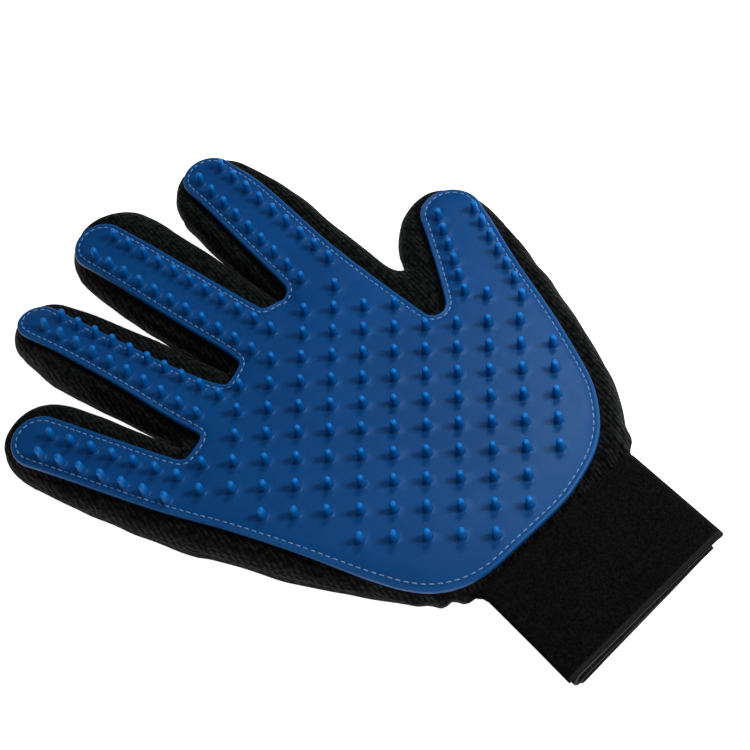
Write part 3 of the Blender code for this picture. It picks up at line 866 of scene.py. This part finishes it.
def strap_mesh():
    """Loop-cloth sheet with rounded edges, slightly wavy where it lies on the cuff."""
    path = strap_path()
    step = unit(np.gradient(path, axis=0))
    out = np.column_stack((step[:, 1], -step[:, 0]))
    half = STRAP_THICK / 2
    across = np.concatenate(([0.0, 0.008, 0.02], np.linspace(0.05, 0.95, STRAP_ACROSS), [0.98, 0.992, 1.0]))
    upper = [(s, 1.0, 0.0) for s in across[1:-1]]
    right = [(1.0, 0.85, 0.30), (1.0, 0.35, 0.52), (1.0, -0.35, 0.52), (1.0, -0.85, 0.30)]
    # The section's lower and left sides are its upper and right sides turned by half a turn
    ring = upper + right + [(s, -1.0, 0.0) for s, _, _ in upper[::-1]]
    ring += [(0.0, -face, beyond) for _, face, beyond in right]
    points, edge, rest = [], [], []
    travel = 0.0
    last = len(path) - 1
    for i, ((x, z), (ox, oz)) in enumerate(zip(path, out)):
        travel += STRAP_STEP
        low, high = mouth_y(x, z) + 0.3, wrist_end_y(x) + 0.6
        taper = 0.35 if i == last else 0.8 if i == last - 1 else 1.0
        for share, face, beyond in ring:
            y = low + (high - low) * share + beyond * (1 if share > 0.5 else -1)
            wave = noise.noise(Vector((travel * 0.05, y * 0.09, 7.0))) * 0.35
            curl = 0.5 * math.exp(-min(share, 1 - share) / 0.05) * ease(travel, 20.0, 40.0)
            lift = half * face * taper + (wave - curl) * ease(travel, 12.0, 22.0)
            points.append((x + ox * lift, y, z + oz * lift))
            # A line along the strap's mouth-side edge and its ends get the paler edge colour, partly painted
            # highlight
            edge.append(0.8 * math.exp(-((y - low) / 0.3) ** 2) * (abs(face) > 0.8))
            rest.append((travel, y, face * half))
    count = len(ring)
    faces = ring_faces(len(path), count, False)
    points.append(tuple(np.mean(points[:count], axis=0)))
    points.append(tuple(np.mean(points[last * count:(last + 1) * count], axis=0)))
    edge += [1.0, 1.0]
    rest += [(0.0, 18.0, 0.0), (travel, 18.0, 0.0)]
    first_middle, last_middle = len(points) - 2, len(points) - 1
    faces += [(first_middle, (j + 1) % count, j) for j in range(count)]
    faces += [(last_middle, last * count + j, last * count + (j + 1) % count) for j in range(count)]
    return face_outwards(make_mesh("wrist_strap", points, faces, edge=edge, rest=np.array(rest)))


def face_outwards(mesh):
    shape = bmesh.new()
    shape.from_mesh(mesh)
    bmesh.ops.recalc_face_normals(shape, faces=shape.faces)
    shape.to_mesh(mesh)
    shape.free()
    mesh.shade_smooth()
    return mesh


def strap_underside(x):
    path = strap_path()[::-1]
    return float(np.interp(x, path[:, 0], path[:, 1])) - STRAP_THICK / 2


def patch_mesh(name, low_x, high_x, thick, height):
    """Thin slab of tape with rounded corners; height gives the level of its lower face at a place."""
    low_y, high_y = TAPE_EDGES_Y
    outline = []
    for cx, side in ((high_x - TAPE_CORNER, 1), (low_x + TAPE_CORNER, -1)):
        for cy, turn in ((high_y - TAPE_CORNER, 1), (low_y + TAPE_CORNER, -1))[::side]:
            for step in range(5):
                angle = math.atan2(turn, side) - (step - 2) * math.pi / 8
                outline.append((cx + TAPE_CORNER * math.cos(angle), cy + TAPE_CORNER * math.sin(angle)))
    outline = resample(np.array(outline), 1.5)[::-1]
    aim = inward(outline)
    rings = [(0.15, 0.0), (0.0, 0.3), (0.0, 0.75), (0.2, 1.0), (0.9, 1.0)]
    points = []
    for inset, rise in rings:
        for (x, y), (ax, ay) in zip(outline, aim):
            x, y = x + ax * inset, y + ay * inset
            points.append((x, y, height(x) + rise * thick))
    count = len(outline)
    faces = ring_faces(len(rings), count, False)
    for start in (0, (len(rings) - 1) * count):
        faces += fill_loop([point[:2] for point in points[start:start + count]], range(start, start + count))
    return face_outwards(make_mesh(name, points, faces, rest=np.array(points)))


def hooks_mesh(low_x, high_x):
    """Rows of small bent hooks on the underside of the strap's end."""
    bend = ((0.0, 0.0, 0.24), (0.05, -0.3, 0.2), (0.22, -0.52, 0.17), (0.42, -0.5, 0.13), (0.5, -0.38, 0.1))
    radii = [radius for _, _, radius in bend]
    points, faces = [], []
    for row, x in enumerate(np.arange(low_x + 1.4, high_x - 1.2, HOOK_PITCH)):
        root = strap_underside(x) - HOOK_TAPE_THICK + 0.05
        turn = 1 if row % 2 else -1
        for y in np.arange(6.6 + HOOK_PITCH / 2 * (row % 2), 30.6, HOOK_PITCH):
            centres = [np.array([x + turn * aside, y, root + rise]) for aside, rise, _ in bend]
            add_rod(points, faces, centres, radii, np.array([1.0, 0.0, 0.0]), np.array([0.0, 1.0, 0.0]), 5)
    return face_outwards(make_mesh("hooks", points, faces, rest=np.array(points)))


def cuff_seam_stitches():
    """Thread that closes the cuff's upper edge onto the palm's fabric, on the back of the hand."""
    xs = np.arange(-26.0, 26.5, 3.2)
    places = [np.array([x, wrist_end_y(x) - 2.2, CUFF_BOTTOM - 0.05]) for x in xs]
    return stitches_mesh("cuff_back_stitches", places, [(1.0, 0.0)] * len(xs), length=2.4,
                         radius=0.26)


# ---- materials ----

class Finish:
    """A Principled material with its node tree, and short calls for the nodes it needs."""

    def __init__(self, name):
        self.material = bpy.data.materials.new(name)
        self.material.use_nodes = True
        self.tree = self.material.node_tree
        self.surface = self.tree.nodes["Principled BSDF"]
        self.rest = self.attribute("rest", "Vector")

    def put(self, socket, value):
        if isinstance(value, bpy.types.NodeSocket):
            self.tree.links.new(value, socket)
        else:
            socket.default_value = value

    def node(self, kind, **values):
        node = self.tree.nodes.new("ShaderNode" + kind)
        for name, value in values.items():
            self.put(node.inputs[name], value)
        return node

    def attribute(self, name, output="Fac"):
        node = self.node("Attribute")
        node.attribute_name = name
        return node.outputs[output]

    def coordinates(self, scale=(1.0, 1.0, 1.0), turn=0.0):
        """Rest position in millimetres times a scale, turned about +Z."""
        node = self.node("Mapping", Vector=self.rest, Scale=scale, Rotation=(0.0, 0.0, turn))
        return node.outputs["Vector"]

    def noise(self, scale, detail=3.0, roughness=0.55):
        return self.node("TexNoise", Vector=self.coordinates(), Scale=scale, Detail=detail,
                         Roughness=roughness).outputs["Fac"]

    def cells(self, vector, scale, smooth):
        node = self.node("TexVoronoi", Vector=vector, Scale=scale)
        node.feature = "SMOOTH_F1"
        self.put(node.inputs["Smoothness"], smooth)
        return node.outputs["Distance"]

    def wave(self, vector, scale, distortion=0.0):
        return self.node("TexWave", Vector=vector, Scale=scale, Distortion=distortion).outputs["Fac"]

    def math(self, operation, first, second):
        node = self.node("Math")
        node.operation = operation
        self.put(node.inputs[0], first)
        self.put(node.inputs[1], second)
        return node.outputs[0]

    def blend(self, first, first_share, second, second_share):
        """Sum of two values times their shares."""
        return self.math("ADD", self.math("MULTIPLY", first, first_share),
                         self.math("MULTIPLY", second, second_share))

    def ramp(self, factor, *stops):
        node = self.node("ValToRGB", Fac=factor)
        for element, (at, color) in zip(node.color_ramp.elements, stops):
            element.position = at
            element.color = (*color, 1.0)
        return node.outputs["Color"]

    def mix(self, factor, first, second):
        node = self.node("Mix")
        node.data_type = "RGBA"
        self.put(node.inputs["Factor"], factor)
        for socket, value in ((node.inputs[6], first), (node.inputs[7], second)):
            self.put(socket, value if isinstance(value, bpy.types.NodeSocket) else (*value, 1.0))
        return node.outputs[2]

    def bump(self, height, distance, strength, under=None):
        """Bump of a height socket; distance is the height in millimetres that a full step means."""
        node = self.node("Bump", Height=height, Distance=distance * MM, Strength=strength)
        if under is not None:
            self.put(node.inputs["Normal"], under)
        return node.outputs["Normal"]

    def finish(self, **values):
        for name, value in values.items():
            name = name.replace("_", " ").title().replace("Ior", "IOR")
            self.put(self.surface.inputs[name], value)
        return self.material


def silicone_finish():
    look = Finish("blue_silicone")
    cloud = look.noise(0.035, 4.0)
    fine = look.noise(1.7, 2.0)
    face = look.ramp(cloud, (0.3, (0.0012, 0.052, 0.195)), (0.7, (0.0022, 0.066, 0.235)))
    # Nub tips painted a lighter blue: painted highlight
    color = look.mix(look.attribute("tip_glow"), face, (0.001, 0.17, 0.58))
    # The moulded edge's rounded top painted a lighter blue: painted highlight
    color = look.mix(look.math("MULTIPLY", look.attribute("rim_glow"), 0.35), color, (0.006, 0.11, 0.34))
    grain = look.bump(fine, 0.05, 0.5)
    rough = look.math("ADD", look.math("MULTIPLY", look.noise(0.3, 3.0), 0.12), 0.36)
    return look.finish(base_color=color, roughness=rough, normal=grain, specular_ior_level=0.2,
                       subsurface_weight=0.06, subsurface_radius=(0.2, 0.5, 1.2), subsurface_scale=0.001)


def thread_finish(name, color):
    look = Finish(name)
    twist = look.wave(look.coordinates(turn=0.7), 1.1)
    shade = look.mix(twist, tuple(0.7 * c for c in color), color)
    return look.finish(base_color=shade, roughness=0.6, normal=look.bump(twist, 0.08, 0.6), sheen_weight=0.2)


def knit_finish(name, dark, light, cell, depth):
    """Coarse knit: rows of plump loops whose colour follows their height, with painted shade in the gaps and
    lighter tops, and some fuzz; a cut edge has paler lines, partly painted highlight.
    """
    look = Finish(name)
    warp = look.noise(0.22, 2.0)
    loops = look.cells(look.coordinates((1.0, 0.72, 1.0), 0.25), 1.0 / cell, 0.35)
    ribs = look.wave(look.coordinates((1.0, 0.3, 0.8), 0.25), 0.31 / cell, 1.6)
    height = look.blend(look.math("SUBTRACT", 1.0, loops), 0.75, ribs, 0.25)
    # Colour follows the loops' height: painted shade in the gaps between loops, lighter on their tops
    color = look.ramp(height, (0.35, dark), (0.9, light))
    color = look.mix(look.math("MULTIPLY", warp, 0.5), color, tuple(0.5 * c for c in dark))
    # Paler lines on the cuff's mouth, partly painted highlight
    color = look.mix(look.attribute("edge"), color, CUT_EDGE_PALE_AND_HIGHLIGHT)
    normal = look.bump(look.noise(4.5), 0.12, 0.5, look.bump(height, depth, 1.0))
    return look.finish(base_color=color, roughness=0.85, normal=normal, specular_ior_level=0.06,
                       sheen_weight=0.05, sheen_roughness=0.45, sheen_tint=SHEEN_TINT)


def pile_finish(name, dark, light, edge_pale_and_highlight):
    """Short matte pile, speckled, with a paler woven edge that is partly painted highlight."""
    look = Finish(name)
    tufts = look.cells(look.coordinates(), 1.25, 0.3)
    fuzz = look.noise(3.2, 4.0, 0.7)
    color = look.ramp(look.blend(fuzz, 0.65, tufts, 0.35), (0.40, dark), (0.62, light))
    color = look.mix(look.math("MULTIPLY", look.noise(0.06), 0.35), color, tuple(1.35 * c for c in light))
    # Paler woven edge, partly painted highlight
    color = look.mix(look.math("MULTIPLY", look.attribute("edge"), 0.75), color, edge_pale_and_highlight)
    normal = look.bump(fuzz, 0.3, 0.6, look.bump(tufts, 0.12, 0.5))
    return look.finish(base_color=color, roughness=0.95, normal=normal, specular_ior_level=0.03,
                       sheen_weight=0.03, sheen_roughness=0.5, sheen_tint=SHEEN_TINT)


def tape_finish():
    look = Finish("hook_plastic")
    fine = look.noise(2.0, 2.0)
    color = look.ramp(fine, (0.3, (0.008, 0.008, 0.009)), (0.7, (0.016, 0.016, 0.018)))
    return look.finish(base_color=color, roughness=0.42, normal=look.bump(fine, 0.05, 0.5))


# Colour of the cuff mouth's paler lines: a paler binding with painted highlight
CUT_EDGE_PALE_AND_HIGHLIGHT = (0.07, 0.067, 0.062)
SHEEN_TINT = (0.9, 0.88, 0.85, 1.0)
SILICONE = silicone_finish()
PALE_THREAD = thread_finish("pale_blue_thread", (0.20, 0.38, 0.68))
DARK_THREAD = thread_finish("black_thread", (0.02, 0.02, 0.022))
KNIT = knit_finish("front_knit", (0.0008, 0.0008, 0.0008), (0.019, 0.0185, 0.018), 1.35, 0.8)
AIR_MESH = knit_finish("back_air_mesh", (0.0010, 0.0010, 0.0010), (0.020, 0.0195, 0.019), 1.9, 0.6)
CUFF_CLOTH = knit_finish("cuff_cloth", (0.004, 0.004, 0.0045), (0.018, 0.018, 0.019), 0.8, 0.25)
LINING = knit_finish("cuff_lining_cloth", (0.006, 0.006, 0.007), (0.03, 0.03, 0.032), 0.9, 0.2)
LOOP_PILE = pile_finish("loop_pile", (0.0003, 0.0003, 0.0003), (0.0056, 0.0054, 0.0053),
                        (0.06, 0.058, 0.055))
HOOK_PLASTIC = tape_finish()


# ---- build ----

def build_fabric():
    """Palm and wrist from the whole outline, each finger's closed sleeve, and the layer under the palm's."""
    layers = [(fabric_inside, group_palm_fabric)]
    layers += [(partial(cover_inside, finger), partial(group_sleeve, finger=finger)) for finger in fingers]
    for outline, grouping in layers:
        cut_into_pieces("glove_fabric", fabric_mesh(outline), [KNIT, AIR_MESH],
                        ("_front_fabric", "_back_fabric"), grouping)
    inner = place("palm_inner_fabric", fabric_mesh(palm_inside, INNER_SHRINK), [KNIT, AIR_MESH])
    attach(inner, "palm")


def build_cuff():
    band = tube_mesh("cuff_band", half_width=29.9, half_height=CUFF_HALF_HEIGHT, wall=1.5, proud=0.0,
                     share_end=0.985)
    lining = tube_mesh("cuff_lining", half_width=28.2, half_height=CUFF_HALF_HEIGHT - 1.55, wall=0.8,
                       proud=1.0, share_end=0.93)
    landing = patch_mesh("landing", -28.0, 20.0, thick=0.45, height=lambda x: CUFF_TOP - 0.1)
    add_piece("cuff_band_cloth", band, CUFF_CLOTH, "cuff", "cuff_cloth", "cuff_band")
    add_piece("cuff_lining_cloth", lining, LINING, "cuff", "cuff_cloth", "cuff_lining")
    add_piece("cuff_loop_landing", landing, LOOP_PILE, "cuff", "loop_cloth", "cuff_loop_patch")
    add_piece("cuff_back_stitches", cuff_seam_stitches(), DARK_THREAD, "cuff", "cuff_cloth")


def build_strap():
    strap = place("wrist_strap_cloth", strap_mesh(), [LOOP_PILE])
    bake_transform(strap, "cuff", "strap", start=STRAP_FOLD[0], end=STRAP_FOLD[1])
    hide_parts("wrist_strap", "strap_sewn_end")
    tape = patch_mesh("hook_tape", *HOOK_TAPE, HOOK_TAPE_THICK,
                      lambda x: strap_underside(x) - HOOK_TAPE_THICK)
    add_piece("strap_hook_tape", tape, HOOK_PLASTIC, "strap", "hook_tape", "strap_hook_patch")
    add_piece("strap_hooks", hooks_mesh(*HOOK_TAPE), HOOK_PLASTIC, "strap", "hook_tape")


def build_floor():
    mesh = bpy.data.meshes.new("floor")
    mesh.from_pydata([(-3, -3, 0), (3, -3, 0), (3, 3, 0), (-3, 3, 0)], [], [(0, 1, 2, 3)])
    floor = bpy.data.objects.new("floor", mesh)
    floor.location.z = -0.0006
    bpy.context.scene.collection.objects.link(floor)
    look = Finish("white_floor")
    mesh.materials.append(look.finish(base_color=(0.9, 0.9, 0.9, 1.0), roughness=0.9, specular_ior_level=0.0,
                                      emission_color=(1.0, 1.0, 1.0, 1.0), emission_strength=0.95))


def build_light(name, place_m, target_m, size_m, watts, color=(1.0, 1.0, 1.0)):
    lamp = bpy.data.lights.new(name, "AREA")
    lamp.size = size_m
    lamp.energy = watts
    lamp.color = color
    holder = bpy.data.objects.new(name, lamp)
    holder.location = place_m
    aim = Vector(target_m) - Vector(place_m)
    holder.rotation_euler = aim.to_track_quat("-Z", "Y").to_euler()
    bpy.context.scene.collection.objects.link(holder)


def build_stage():
    build_floor()
    middle = (-0.01, 0.12, 0.02)
    build_light("key", (0.24, -0.13, 0.38), middle, size_m=0.13, watts=1.6)
    build_light("fill", (-0.55, -0.35, 0.9), middle, size_m=1.0, watts=1.6)
    build_light("sheen", (0.225, 0.215, 0.40), (0.03, 0.07, 0.02), size_m=0.12, watts=0.75,
                color=(0.72, 0.92, 1.0))
    world = bpy.data.worlds.new("studio")
    world.use_nodes = True
    world.node_tree.nodes["Background"].inputs["Color"].default_value = (1.0, 1.0, 1.0, 1.0)
    world.node_tree.nodes["Background"].inputs["Strength"].default_value = 0.08
    bpy.context.scene.world = world
    bpy.context.scene.view_settings.view_transform = "Standard"


def build_camera():
    lens = bpy.data.cameras.new("camera")
    lens.lens = 72.0
    lens.sensor_width = 36.0
    camera = bpy.data.objects.new("camera", lens)
    right = Vector((0.76819, -0.61931, -0.16228))
    ahead = Vector((0.25467, 0.52815, -0.81006))
    up = right.cross(ahead)
    camera.matrix_world = Matrix(((right.x, up.x, -ahead.x, -0.1268), (right.y, up.y, -ahead.y, -0.1368),
                                  (right.z, up.z, -ahead.z, 0.4038), (0, 0, 0, 1)))
    bpy.context.scene.collection.objects.link(camera)
    bpy.context.scene.camera = camera


build_fabric()
cut_into_pieces("silicone_face", silicone_mesh(), [SILICONE], ("_pad",))
cut_into_pieces("edge_stitches", stitching_mesh(), [PALE_THREAD], ())
build_cuff()
build_strap()
build_stage()
build_camera()
